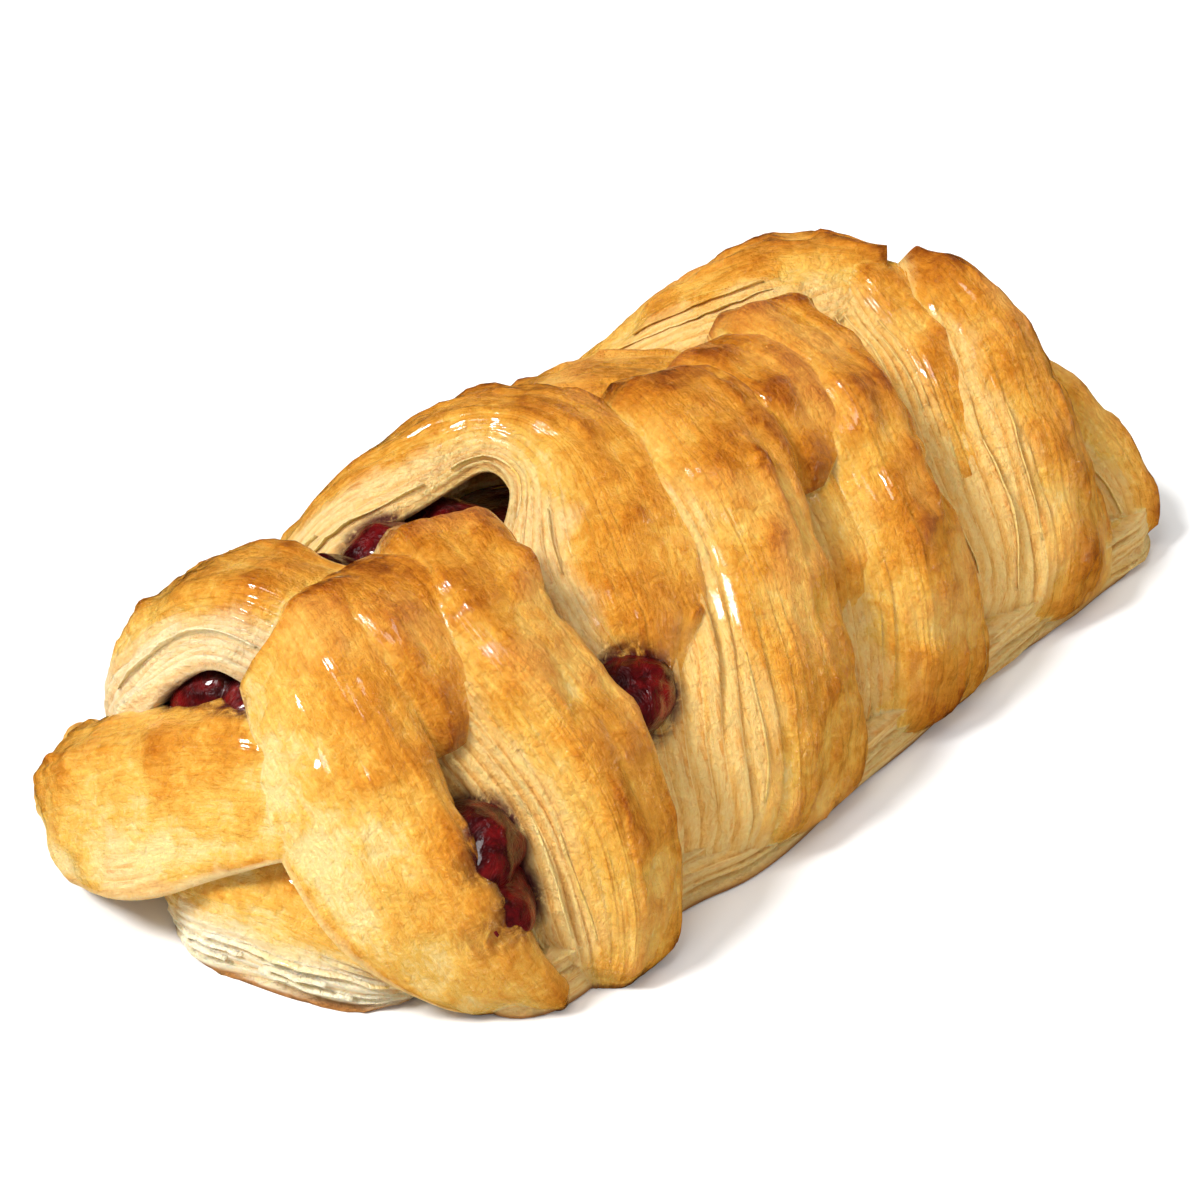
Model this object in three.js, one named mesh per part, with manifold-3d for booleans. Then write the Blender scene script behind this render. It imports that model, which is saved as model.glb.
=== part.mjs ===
import * as THREE from 'three';
import { mergeVertices } from 'three/addons/utils/BufferGeometryUtils.js';
import Module from 'manifold-3d';

// A plaited puff pastry with a cherry filling, in millimetres, +Z up, resting on z = 0.
// X runs along the plait, the front side faces -Y and the back side faces +Y.
// One sheet of dough lies under the filling. Its two long sides are cut into strips, which are
// folded up over the filling, front over back, and leave gaps where the cherries show.

// Driving dimensions
const LENGTH = 145;
const WIDTH = 73;
const HEIGHT = 43;
const SHEET_THICKNESS = 7;
const FILLING_CLEARANCE = 0.3;
const CHERRY_RADIUS = 5.5;

// Units of the tables below, each a hundredth of a driving dimension.
const ALONG = LENGTH / 200;
const ACROSS = WIDTH / 200;
const UP = HEIGHT / 100;

// Fineness of the faceted shapes
const STRIP_STEPS = 14;
const SHEET_POINTS = 32;
const FILLING_SIDES = 28;

// The strips of dough, from the near end (-X) to the far end (+X). Every row is one station of a
// strip, listed from the front of the plait to the back: where its ridge is (along, across, up),
// how far its cut wall reaches to -X, how far its top reaches to +X, and how thick it is.
const FRONT_STRIPS = [
  [
    [-76, -88, -4, 7, 6, 19],
    [-83, -84, 17, 19, 6, 23],
    [-88, -70, 44, 27, 7, 30],
    [-88, -45, 70, 27, 10, 32],
    [-85, -18, 88, 23, 16, 28],
    [-81, 5, 95, 19, 18, 23],
    [-80, 16, 93, 16, 17, 19],
  ],
  [
    [-69, -96, -4, 16, 21, 19],
    [-67, -99, 19, 20, 23, 26],
    [-66, -89, 49, 21, 25, 32],
    [-66, -67, 73, 23, 26, 32],
    [-66, -38, 91, 19, 28, 30],
    [-61, -5, 99, 19, 28, 26],
    [-57, 14, 97, 16, 23, 19],
  ],
  [
    [-25, -93, -4, 50, 35, 19],
    [-23, -99, 19, 52, 33, 26],
    [-19, -89, 49, 49, 30, 33],
    [-13, -68, 74, 41, 28, 35],
    [-7, -38, 93, 35, 28, 30],
    [-3, -8, 100, 26, 28, 26],
    [0, 14, 98, 19, 23, 19],
  ],
  [
    [12, -93, -4, 33, 37, 19],
    [14, -99, 19, 33, 35, 26],
    [18, -89, 49, 30, 28, 33],
    [22, -67, 76, 26, 23, 35],
    [27, -38, 94, 21, 23, 30],
    [30, -5, 100, 19, 23, 26],
    [32, 16, 98, 16, 19, 19],
  ],
  [
    [58, -93, -4, 47, 35, 19],
    [61, -99, 19, 49, 30, 26],
    [65, -86, 49, 49, 21, 33],
    [69, -63, 76, 42, 14, 33],
    [71, -36, 93, 28, 9, 26],
    [72, -16, 100, 14, 5, 14],
  ],
];
const BACK_STRIPS = [
  [
    [-88, -49, 56, 16, 19, 16],
    [-90, -22, 64, 19, 19, 19],
    [-95, 8, 65, 23, 19, 26],
    [-99, 42, 56, 26, 19, 30],
    [-100, 76, 39, 21, 19, 28],
    [-92, 94, 17, 19, 21, 21],
    [-80, 85, -4, 19, 21, 16],
  ],
  [
    [-74, -25, 77, 14, 19, 19],
    [-77, 0, 87, 19, 21, 21],
    [-80, 30, 91, 18, 23, 19],
    [-81, 58, 79, 20, 28, 21],
    [-80, 82, 56, 22, 33, 23],
    [-76, 96, 26, 21, 35, 26],
    [-72, 90, -4, 21, 33, 16],
  ],
  [
    [-39, -68, 58, 26, 23, 14],
    [-33, -49, 76, 35, 23, 19],
    [-25, -25, 88, 31, 23, 20],
    [-20, 5, 97, 17, 23, 16],
    [-22, 33, 96, 14, 26, 14],
    [-32, 60, 83, 29, 30, 19],
    [-41, 82, 58, 33, 37, 26],
    [-48, 97, 23, 33, 40, 28],
    [-52, 90, -4, 28, 37, 16],
  ],
  [
    [8, -85, 23, 33, 33, 16],
    [14, -66, 63, 28, 28, 16],
    [17, -27, 84, 21, 21, 16],
    [14, 5, 87, 21, 26, 19],
    [5, 33, 87, 26, 35, 26],
    [-2, 62, 76, 30, 37, 30],
    [-8, 84, 54, 33, 40, 30],
    [-14, 97, 23, 35, 42, 28],
    [-17, 90, -4, 30, 37, 16],
  ],
  [
    [66, -8, 100, 7, 7, 9],
    [62, 5, 99, 21, 14, 16],
    [54, 30, 96, 42, 21, 21],
    [43, 58, 80, 40, 28, 26],
    [33, 82, 56, 37, 40, 28],
    [23, 97, 23, 37, 44, 28],
    [19, 90, -4, 33, 40, 16],
  ],
  [
    [50, -74, 48, 23, 16, 19],
    [53, -57, 67, 26, 19, 21],
    [57, -36, 83, 26, 19, 21],
    [60, -15, 93, 23, 16, 19],
    [62, 2, 96, 16, 12, 16],
  ],
  [
    [52, -85, 23, 33, 28, 19],
    [60, -60, 65, 33, 23, 19],
    [69, -22, 79, 28, 23, 19],
    [74, 11, 77, 26, 23, 21],
    [76, 47, 65, 30, 28, 26],
    [74, 77, 47, 35, 33, 28],
    [72, 93, 21, 37, 35, 26],
    [69, 86, -4, 35, 35, 16],
  ],
];

// Dough that still joins two neighbouring front strips at the crest and ends where their slit
// starts.
const BRIDGES = [
  [
    [-78, -50, 66, 9, 9, 12],
    [-78, -39, 80, 19, 19, 16],
    [-77, -22, 91, 23, 23, 19],
    [-75, -4, 95, 23, 23, 19],
    [-74, 14, 91, 16, 19, 16],
  ],
  [
    [10, -57, 74, 9, 9, 12],
    [11, -46, 85, 19, 19, 16],
    [13, -28, 95, 26, 26, 19],
    [14, -8, 98, 26, 26, 19],
    [15, 12, 94, 21, 21, 16],
  ],
];

// The sheet's far end is rolled up into one thick strip across the plait.
const END_ROLL = [
  [86, -92, -4, 26, 14, 21],
  [92, -95, 14, 33, 12, 30],
  [95, -78, 33, 33, 12, 40],
  [92, -42, 53, 33, 14, 47],
  [90, 0, 62, 33, 14, 47],
  [91, 44, 54, 33, 14, 44],
  [94, 76, 33, 30, 12, 35],
  [90, 90, 14, 30, 12, 28],
  [84, 86, -4, 26, 14, 21],
];

// The near end's lower lip: the sheet's own end, puffed up and leaning on the strips above it.
const LOWER_LIP = [
  [-84, -60, 8, 12, 14, 12],
  [-93, -50, 19, 21, 26, 19],
  [-99, -27, 26, 28, 33, 24],
  [-101, 1, 28, 29, 33, 26],
  [-101, 25, 25, 28, 30, 24],
  [-95, 45, 16, 21, 23, 19],
  [-86, 53, 6, 12, 14, 12],
];

// Corners of a strip's section, in order round it from the ridge: the share of the top's width
// (or, when negative, of the wall's width) and the share of the thickness below the ridge.
const SECTION = [
  [0, 0],
  [0.45, 0.02],
  [0.85, 0.1],
  [1, 0.38],
  [0.98, 0.78],
  [0.78, 1],
  [-0.45, 1],
  [-0.93, 0.97],
  [-1, 0.8],
  [-0.62, 0.42],
  [-0.22, 0.09],
];

// Outline of the flat dough under the filling, along and across.
const SHEET_OUTLINE = [
  [-81, -82],
  [-48, -85],
  [-28, -93],
  [28, -93],
  [69, -95],
  [90, -94],
  [98, -60],
  [98, 49],
  [86, 85],
  [28, 93],
  [-41, 93],
  [-77, 85],
  [-86, 55],
  [-86, -44],
];

// The filling's half sizes and how square its ends are, and where whole cherries swell it.
const FILLING_HALF_SIZES = [81 * ALONG, 57 * ACROSS, 34 * UP];
const FILLING_SQUARENESS = 0.65;
const FILLING_MIDDLE = [-6 * ALONG, 0, 36 * UP];
const CHERRIES = [
  [-83, -64, 29],
  [-82, -58, 42],
  [-74, -48, 38],
  [-44, -57, 53],
  [-85, 14, 60],
  [-84, 34, 60],
  [-62, 28, 70],
  [-48, 26, 70],
  [-35, 26, 67],
];

// Fullness of the plait's outer shape along, across and up; it gives the way each strip faces.
const FULLNESS = new THREE.Vector3(5, 2.6, 2.3);

const wasm = await Module();
wasm.setup();

// A closed three.js geometry as a solid that can be joined and cut.
function toSolid(geometry) {
  const bare = geometry.clone();
  bare.deleteAttribute('normal');
  bare.deleteAttribute('uv');
  const welded = mergeVertices(bare, 1e-4);
  return new wasm.Manifold(new wasm.Mesh({
    numProp: 3,
    vertProperties: new Float32Array(welded.attributes.position.array),
    triVerts: new Uint32Array(welded.index.array),
  }));
}

function toGeometry(solid) {
  const mesh = solid.getMesh();
  const geometry = new THREE.BufferGeometry();
  geometry.setAttribute('position', new THREE.BufferAttribute(mesh.vertProperties, 3));
  geometry.setIndex(new THREE.BufferAttribute(mesh.triVerts, 1));
  geometry.computeVertexNormals();
  return geometry;
}

function joined(solids) {
  return solids.reduce((whole, solid) => whole.add(solid));
}

// The way out of the plait at a point of its surface.
function outward(point) {
  const shares = new THREE.Vector3(
    (2 * point.x) / LENGTH,
    (2 * point.y) / WIDTH,
    Math.max(point.z, 0) / HEIGHT,
  );
  return new THREE.Vector3(
    0.5 * Math.sign(shares.x) * Math.abs(shares.x) ** (FULLNESS.x - 1) / LENGTH,
    Math.sign(shares.y) * Math.abs(shares.y) ** (FULLNESS.y - 1) / WIDTH,
    Math.max(shares.z ** (FULLNESS.z - 1), 0.01) / (2 * HEIGHT),
  ).normalize();
}

// One strip: a cylinder with a side for each corner of the section, bent along the ridge.
function stripSolid(stations) {
  const ridge = new THREE.CatmullRomCurve3(
    stations.map(([along, across, up]) => new THREE.Vector3(along * ALONG, across * ACROSS, up * UP)),
    false, 'catmullrom', 0.5,
  );
  const sizes = new THREE.CatmullRomCurve3(
    stations.map(([, , , wall, top, thick]) => new THREE.Vector3(wall * UP, top * UP, thick * UP)),
    false, 'catmullrom', 0.5,
  );
  const geometry = new THREE.CylinderGeometry(1, 1, 1, SECTION.length, STRIP_STEPS);
  const place = new THREE.Vector3();
  for (let i = 0; i < geometry.attributes.position.count; i += 1) {
    place.fromBufferAttribute(geometry.attributes.position, i);
    const share = THREE.MathUtils.clamp(place.y + 0.5, 0, 1);
    const turn = Math.atan2(place.x, place.z) / (2 * Math.PI);
    const side = (Math.round(turn * SECTION.length) + SECTION.length) % SECTION.length;
    const onAxis = Math.hypot(place.x, place.z) < 0.5;
    const middle = ridge.getPoint(share);
    const [wall, top, thick] = sizes.getPoint(share).toArray();
    const tangent = ridge.getTangent(share);
    const normal = outward(middle).projectOnPlane(tangent).normalize();
    const sideways = new THREE.Vector3().crossVectors(tangent, normal);
    const centre = [(top - wall) / 2, -thick / 2];
    const corner = SECTION[side];
    const offset = onAxis ? centre : [corner[0] * (corner[0] < 0 ? wall : top), -corner[1] * thick];
    const fullness = Math.min(1, 0.5 + 7 * Math.min(share, 1 - share));
    middle.addScaledVector(sideways, centre[0] + (offset[0] - centre[0]) * fullness);
    middle.addScaledVector(normal, centre[1] + (offset[1] - centre[1]) * fullness);
    geometry.attributes.position.setXYZ(i, middle.x, middle.y, middle.z);
  }
  return toSolid(geometry);
}

// A flat piece of dough lying on the ground inside a smooth closed outline.
function sheetSolid(outline, thickness) {
  const rim = new THREE.CatmullRomCurve3(
    outline.map(([along, across]) => new THREE.Vector3(along * ALONG, across * ACROSS, 0)),
    true, 'catmullrom', 0.5,
  );
  const corners = rim.getPoints(SHEET_POINTS).slice(0, -1);
  const shape = new THREE.Shape(corners.map(({ x, y }) => new THREE.Vector2(x, y)));
  return toSolid(new THREE.ExtrudeGeometry(shape, { depth: thickness, bevelEnabled: false }));
}

// Everything above a height, as one large box.
function spaceAbove(height) {
  const box = new THREE.BoxGeometry(2 * LENGTH, 2 * WIDTH, 2 * HEIGHT);
  box.translate(0, 0, HEIGHT + height);
  return toSolid(box);
}

// The filling swollen by a margin: a long mound on the base sheet with cherries in it.
function fillingSolid(margin) {
  const mound = new THREE.SphereGeometry(1, FILLING_SIDES, FILLING_SIDES / 2);
  mound.rotateX(Math.PI / 2);
  const place = new THREE.Vector3();
  for (let i = 0; i < mound.attributes.position.count; i += 1) {
    place.fromBufferAttribute(mound.attributes.position, i);
    const swollen = place.toArray().map((share, axis) => (
      Math.sign(share) * Math.abs(share) ** FILLING_SQUARENESS * (FILLING_HALF_SIZES[axis] + margin)
      + FILLING_MIDDLE[axis]
    ));
    mound.attributes.position.setXYZ(i, ...swollen);
  }
  const cherries = CHERRIES.map(([along, across, up]) => {
    const cherry = new THREE.SphereGeometry(CHERRY_RADIUS + margin, 12, 8);
    cherry.translate(along * ALONG, across * ACROSS, up * UP);
    return toSolid(cherry);
  });
  return joined([toSolid(mound), ...cherries])
    .intersect(spaceAbove(SHEET_THICKNESS + FILLING_CLEARANCE - margin));
}

// All the dough, baked into one piece, with the hollow that the filling sits in.
function pastrySolid() {
  const dough = joined([
    sheetSolid(SHEET_OUTLINE, SHEET_THICKNESS),
    ...BACK_STRIPS.map(stripSolid),
    ...FRONT_STRIPS.map(stripSolid),
    ...BRIDGES.map(stripSolid),
    stripSolid(END_ROLL),
    stripSolid(LOWER_LIP),
  ]);
  const hollowed = dough.intersect(spaceAbove(0)).subtract(fillingSolid(FILLING_CLEARANCE));
  return hollowed.decompose().reduce((most, piece) => (piece.volume() > most.volume() ? piece : most));
}

const crust = new THREE.MeshStandardMaterial({ color: 0xd99a3e, roughness: 0.45, metalness: 0 });
const cherry = new THREE.MeshStandardMaterial({ color: 0x6a0a12, roughness: 0.15, metalness: 0 });

const pastry = new THREE.Mesh(toGeometry(pastrySolid()), crust);
pastry.name = 'pastry';
const filling = new THREE.Mesh(toGeometry(fillingSolid(0)), cherry);
filling.name = 'cherry_filling';

const plait = new THREE.Group();
plait.add(pastry, filling);
const middle = new THREE.Box3().setFromObject(plait).getCenter(new THREE.Vector3());
plait.position.set(-middle.x, -middle.y, 0);

export default plait;
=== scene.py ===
# %% [markdown]
# # A plaited puff pastry with a cherry filling
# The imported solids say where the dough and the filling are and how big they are. This lesson
# rebuilds the same plait with the surface that an oven gives it: laminated walls where the dough
# was cut, a glazed and toasted top, and wet cherries in the gaps.

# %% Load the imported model
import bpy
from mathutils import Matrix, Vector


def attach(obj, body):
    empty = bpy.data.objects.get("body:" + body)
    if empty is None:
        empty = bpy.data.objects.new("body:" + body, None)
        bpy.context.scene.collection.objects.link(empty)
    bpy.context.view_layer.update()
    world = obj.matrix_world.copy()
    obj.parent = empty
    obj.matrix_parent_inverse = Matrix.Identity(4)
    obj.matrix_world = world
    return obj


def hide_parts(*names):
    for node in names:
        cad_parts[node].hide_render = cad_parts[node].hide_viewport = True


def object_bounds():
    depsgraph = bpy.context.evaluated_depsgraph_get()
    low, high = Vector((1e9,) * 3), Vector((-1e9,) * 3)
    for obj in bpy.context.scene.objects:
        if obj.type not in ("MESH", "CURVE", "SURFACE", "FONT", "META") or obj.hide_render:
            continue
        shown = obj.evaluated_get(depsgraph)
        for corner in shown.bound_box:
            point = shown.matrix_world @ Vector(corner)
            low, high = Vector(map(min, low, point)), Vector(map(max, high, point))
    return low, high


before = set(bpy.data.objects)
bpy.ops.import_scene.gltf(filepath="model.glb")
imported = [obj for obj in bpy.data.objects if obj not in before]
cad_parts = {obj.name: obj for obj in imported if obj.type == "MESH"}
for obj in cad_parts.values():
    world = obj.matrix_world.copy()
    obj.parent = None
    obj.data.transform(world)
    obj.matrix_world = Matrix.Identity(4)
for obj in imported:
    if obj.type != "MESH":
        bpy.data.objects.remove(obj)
solid_low, solid_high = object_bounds()
print("solid box in millimetres:", [round(1000 * side, 1) for side in solid_high - solid_low])

# %% Tools for the lesson
import math

import bmesh
import bpy
import numpy as np
from mathutils import Vector
from mathutils.bvhtree import BVHTree

print("Blender", bpy.app.version_string)

# %% [markdown]
# ## Units
# Working in millimetres keeps the numbers readable, so meshes are turned to metres only when they
# are made. Stations are given in hundredths of the plait's half length, half width and height, as
# in the solids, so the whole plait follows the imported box.

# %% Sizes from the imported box
MM = 0.001
NOMINAL = (0.96648, 1.01714, 0.99814)  # the nominal plait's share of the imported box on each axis
LENGTH = (solid_high.x - solid_low.x) / MM * NOMINAL[0]
WIDTH = (solid_high.y - solid_low.y) / MM * NOMINAL[1]
HEIGHT = (solid_high.z - solid_low.z) / MM * NOMINAL[2]
ALONG, ACROSS, UP = LENGTH / 200, WIDTH / 200, HEIGHT / 100
MIDDLE = (-3.662, -1.078)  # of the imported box, in hundredths along and across
print(f"nominal plait {LENGTH:.1f} x {WIDTH:.1f} x {HEIGHT:.1f} mm")


def place(along, across, up):
    """Hundredths to millimetres in the frame."""
    return ((along - MIDDLE[0]) * ALONG, (across - MIDDLE[1]) * ACROSS, up * UP)


# %% [markdown]
# ## The strips
# A baker cuts both long sides of the sheet into strips and folds them up over the filling, the
# front ones over the back ones. A strip is easiest to describe as a bent bar: a few stations give
# its ridge line, how far its cut wall slopes away to the near end, how far its glazed top reaches
# to the far end, and its thickness. A smooth line through the stations gives the rest.

# %% Stations of the strips: along, across, up, wall, top, thickness
FRONT_STRIPS = [
    [(-76, -88, -4, 7, 6, 19), (-83, -84, 17, 19, 6, 23), (-88, -70, 44, 27, 7, 30),
     (-88, -45, 70, 27, 10, 32), (-85, -18, 88, 23, 16, 28), (-81, 5, 95, 19, 18, 23),
     (-80, 16, 93, 16, 17, 19)],
    [(-69, -96, -4, 16, 21, 19), (-67, -99, 19, 20, 23, 26), (-66, -89, 49, 21, 25, 32),
     (-66, -67, 73, 23, 26, 32), (-66, -38, 91, 19, 28, 30), (-61, -5, 99, 19, 28, 26),
     (-57, 14, 97, 16, 23, 19)],
    [(-25, -93, -4, 50, 35, 19), (-23, -99, 19, 52, 33, 26), (-19, -89, 49, 49, 30, 33),
     (-13, -68, 74, 41, 28, 35), (-7, -38, 93, 35, 28, 30), (-3, -8, 100, 26, 28, 26),
     (0, 14, 98, 19, 23, 19)],
    [(12, -93, -4, 33, 37, 19), (14, -99, 19, 33, 35, 26), (18, -89, 49, 30, 28, 33),
     (22, -67, 76, 26, 23, 35), (27, -38, 94, 21, 23, 30), (30, -5, 100, 19, 23, 26),
     (32, 16, 98, 16, 19, 19)],
    [(58, -93, -4, 47, 35, 19), (61, -99, 19, 49, 30, 26), (65, -86, 49, 49, 21, 33),
     (69, -63, 76, 42, 14, 33), (71, -36, 93, 28, 9, 26), (72, -16, 100, 14, 5, 14)],
]
BACK_STRIPS = [
    [(-88, -49, 56, 16, 19, 16), (-90, -22, 64, 19, 19, 19), (-95, 8, 65, 23, 19, 26),
     (-99, 42, 56, 26, 19, 30), (-100, 76, 39, 21, 19, 28), (-92, 94, 17, 19, 21, 21),
     (-80, 85, -4, 19, 21, 16)],
    [(-74, -25, 77, 14, 19, 19), (-77, 0, 87, 19, 21, 21), (-80, 30, 91, 18, 23, 19),
     (-81, 58, 79, 20, 28, 21), (-80, 82, 56, 22, 33, 23), (-76, 96, 26, 21, 35, 26),
     (-72, 90, -4, 21, 33, 16)],
    [(-39, -68, 58, 26, 23, 14), (-33, -49, 76, 35, 23, 19), (-25, -25, 88, 31, 23, 20),
     (-20, 5, 97, 17, 23, 16), (-22, 33, 96, 14, 26, 14), (-32, 60, 83, 29, 30, 19),
     (-41, 82, 58, 33, 37, 26), (-48, 97, 23, 33, 40, 28), (-52, 90, -4, 28, 37, 16)],
    [(8, -85, 23, 33, 33, 16), (14, -66, 63, 28, 28, 16), (17, -27, 84, 21, 21, 16),
     (14, 5, 87, 21, 26, 19), (5, 33, 87, 26, 35, 26), (-2, 62, 76, 30, 37, 30),
     (-8, 84, 54, 33, 40, 30), (-14, 97, 23, 35, 42, 28), (-17, 90, -4, 30, 37, 16)],
    [(66, -8, 100, 7, 7, 9), (62, 5, 99, 21, 14, 16), (54, 30, 96, 42, 21, 21),
     (43, 58, 80, 40, 28, 26), (33, 82, 56, 37, 40, 28), (23, 97, 23, 37, 44, 28),
     (19, 90, -4, 33, 40, 16)],
    [(50, -74, 48, 23, 16, 19), (53, -57, 67, 26, 19, 21), (57, -36, 83, 26, 19, 21),
     (60, -15, 93, 23, 16, 19), (62, 2, 96, 16, 12, 16)],
    [(52, -85, 23, 33, 28, 19), (60, -60, 65, 33, 23, 19), (69, -22, 79, 28, 23, 19),
     (74, 11, 77, 26, 23, 21), (76, 47, 65, 30, 28, 26), (74, 77, 47, 35, 33, 28),
     (72, 93, 21, 37, 35, 26), (69, 86, -4, 35, 35, 16)],
]
BRIDGES = [
    [(-78, -50, 66, 9, 9, 12), (-78, -39, 80, 19, 19, 16), (-77, -22, 91, 23, 23, 19),
     (-75, -4, 95, 23, 23, 19), (-74, 14, 91, 16, 19, 16)],
    [(10, -57, 74, 9, 9, 12), (11, -46, 85, 19, 19, 16), (13, -28, 95, 26, 26, 19),
     (14, -8, 98, 26, 26, 19), (15, 12, 94, 21, 21, 16)],
]
END_ROLL = [(86, -92, -4, 26, 14, 21), (92, -95, 14, 33, 12, 30), (95, -78, 33, 33, 12, 40),
            (92, -42, 53, 33, 14, 47), (90, 0, 62, 33, 14, 47), (91, 44, 54, 33, 14, 44),
            (94, 76, 33, 30, 12, 35), (90, 90, 14, 30, 12, 28), (84, 86, -4, 26, 14, 21)]
LOWER_LIP = [(-84, -60, 8, 12, 14, 12), (-93, -50, 19, 21, 26, 19), (-99, -27, 26, 28, 33, 24),
             (-101, 1, 28, 29, 33, 26), (-101, 25, 25, 28, 30, 24), (-95, 45, 16, 21, 23, 19),
             (-86, 53, 6, 12, 14, 12)]
print(len(FRONT_STRIPS), "front strips,", len(BACK_STRIPS), "back ones,", len(BRIDGES), "bridges")

# %% Corners of a strip's section
# Round it from the ridge: across, as a share of the top or (when negative) of the wall, and depth.
SECTION = np.array([
    (0, 0), (0.45, 0.02), (0.85, 0.1), (1, 0.38), (0.98, 0.78), (0.78, 1),
    (-0.45, 1), (-0.93, 0.97), (-1, 0.8), (-0.62, 0.42), (-0.22, 0.09),
])
CORNERS = len(SECTION)
# Places round the section, counted in corners. The ridge is both 0 and 11.
RIDGE, SHOULDER, SIDE_FOOT, UNDER, WALL_FOOT = 11, 14, 16, 6.3, 8
FULLNESS = np.array([5, 2.6, 2.3])  # of the plait's outer shape, along, across and up
print("a section has", CORNERS, "corners")

# %% [markdown]
# ## Waves for a baked surface
# Dough never bakes evenly. Smooth random waves of a chosen length push the ridge lines about,
# widen and pinch the layers and wrinkle the crust. A small table of random heights with a smooth
# blend between them is enough, and a fixed seed gives the same pastry every time.

# %% Smooth random waves
TABLE = 128
HEIGHTS = np.random.default_rng(11).uniform(-1, 1, (TABLE, TABLE))


def wave(u, v, seed):
    """Random heights from -1 to 1, about one swell per unit of u and of v."""
    u, v = np.broadcast_arrays(np.asarray(u, float) + 17.31 * seed,
                               np.asarray(v, float) + 5.73 * seed)
    low_u, low_v = np.floor(u).astype(int), np.floor(v).astype(int)
    part_u, part_v = u - low_u, v - low_v
    part_u, part_v = part_u ** 2 * (3 - 2 * part_u), part_v ** 2 * (3 - 2 * part_v)
    a, b = low_u % TABLE, low_v % TABLE
    c, d = (low_u + 1) % TABLE, (low_v + 1) % TABLE
    near = HEIGHTS[a, b] * (1 - part_v) + HEIGHTS[a, d] * part_v
    far = HEIGHTS[c, b] * (1 - part_v) + HEIGHTS[c, d] * part_v
    return near * (1 - part_u) + far * part_u


def waves(u, v, seed, turns=3):
    """Waves with finer and lower ones on top of them."""
    return sum(wave(u * 2 ** k, v * 2 ** k, seed + k) / 2 ** k for k in range(turns))


print("wave heights from", HEIGHTS.min().round(3), "to", HEIGHTS.max().round(3))

# %% [markdown]
# ## Smooth lines
# A strip of dough bends softly, without corners. A Catmull-Rom curve passes through every station,
# so the stations stay the true places of the ridge, and it blends the widths in the same way. The
# plait's outer shape is a blunt rounded loaf, and its slope at a ridge says which way is out.

# %% Smooth lines through stations
def blend_four(a, b, c, d, t):
    """The Catmull-Rom curve from b to c."""
    return 0.5 * (2 * b + (c - a) * t + (2 * a - 5 * b + 4 * c - d) * t ** 2
                  + (3 * b - a - 3 * c + d) * t ** 3)


def smooth_line(stations, step, closed=False):
    """Rows evenly spaced along the smooth line through the stations, and their distances."""
    rows = np.asarray(stations, float)
    if closed:
        rows = np.vstack([rows[-1], rows, rows[:2]])
    else:
        rows = np.vstack([2 * rows[0] - rows[1], rows, 2 * rows[-1] - rows[-2]])
    share = np.linspace(0, 1, 24, endpoint=False)[:, None]
    fine = np.vstack([blend_four(*rows[i:i + 4], share) for i in range(len(rows) - 3)]
                     + [rows[-2][None]])
    gone = np.r_[0, np.cumsum(np.linalg.norm(np.diff(fine[:, :3], axis=0), axis=1))]
    at = np.linspace(0, gone[-1], max(8, round(gone[-1] / step)), endpoint=not closed)
    return np.stack([np.interp(at, gone, column) for column in fine.T], -1), at


def outward(points):
    """The way out of the plait at points on its surface."""
    shares = points / (LENGTH / 2, WIDTH / 2, HEIGHT)
    shares[:, 2] = np.maximum(shares[:, 2], 0)
    way = np.sign(shares) * np.abs(shares) ** (FULLNESS - 1)
    way *= (0.5 / LENGTH, 1 / WIDTH, 0.5 / HEIGHT)
    way[:, 2] = np.maximum(way[:, 2], 0.005 / HEIGHT)
    return way / np.linalg.norm(way, axis=1, keepdims=True)


print("out at the crest:", outward(np.array([[0, 0, HEIGHT]])).round(2))

# %% [markdown]
# ## Layers in a cut wall
# Puff pastry is a stack of thin layers. Where the knife cut it, the oven drives the layers apart,
# and each one ends in a thin lip over a small crevice. Rows of points that follow the layers make
# crisp lips with few points: four rows a layer, from the lip down into the crevice. The lips reach
# out by waves of their own, so a layer thickens, thins and tears on its way along the strip.

# %% Rows round a section
LIP = [(0.0, 1.0), (0.14, 0.75), (0.5, 0.0), (0.86, -0.75)]  # place in a layer, and reach
UNDERSIDE, WALL, TOP, SIDE = range(4)  # kinds of row


def layered(start, end, layers):
    """Rows from start to end of the section, with their layer and reach."""
    size = (end - start) / layers
    return [(start + size * (k + place_in), k, reach)
            for k in range(layers) for place_in, reach in LIP]


def section_rows(wall_layers, side_layers, top_rows=30):
    """Rows all the way round, from the middle of the underside: place, layer, reach, kind."""
    under = [(p, 0, 0, UNDERSIDE) for p in np.linspace(UNDER, WALL_FOOT, 5, endpoint=False)]
    wall = [(WALL_FOOT + RIDGE - p, k, reach, WALL)
            for p, k, reach in layered(WALL_FOOT, RIDGE, wall_layers)]
    top = [(p, 0, 0, TOP) for p in np.linspace(RIDGE, SHOULDER, top_rows + 1)[1:-1]]
    side = [(p, k, reach, SIDE) for p, k, reach in layered(SHOULDER, SIDE_FOOT, side_layers)]
    back = [(p, 0, 0, UNDERSIDE)
            for p in np.linspace(SIDE_FOOT, UNDER + CORNERS, 4, endpoint=False)]
    return np.array(under + wall[::-1] + top + side + back).T


def layer_relief(distance, layer, reach, seed, size):
    """How far a layer's points stand out, in millimetres."""
    strength = size * np.clip(0.5 + 0.8 * wave(distance / 8, layer * 3.1, seed), 0.05, 2)
    torn = 0.5 * size * wave(distance / 1.3, layer * 2.7, seed + 3) * (reach > 0.5)
    terrace = 1.6 * size * wave(distance / 18, layer * 1.3, seed + 5)
    split = np.clip(wave(distance / 11, layer * 2.3, seed + 7) - 0.25, 0, 1) * (reach < -0.5)
    return strength * reach + torn + terrace - 1.8 * size * split


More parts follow.
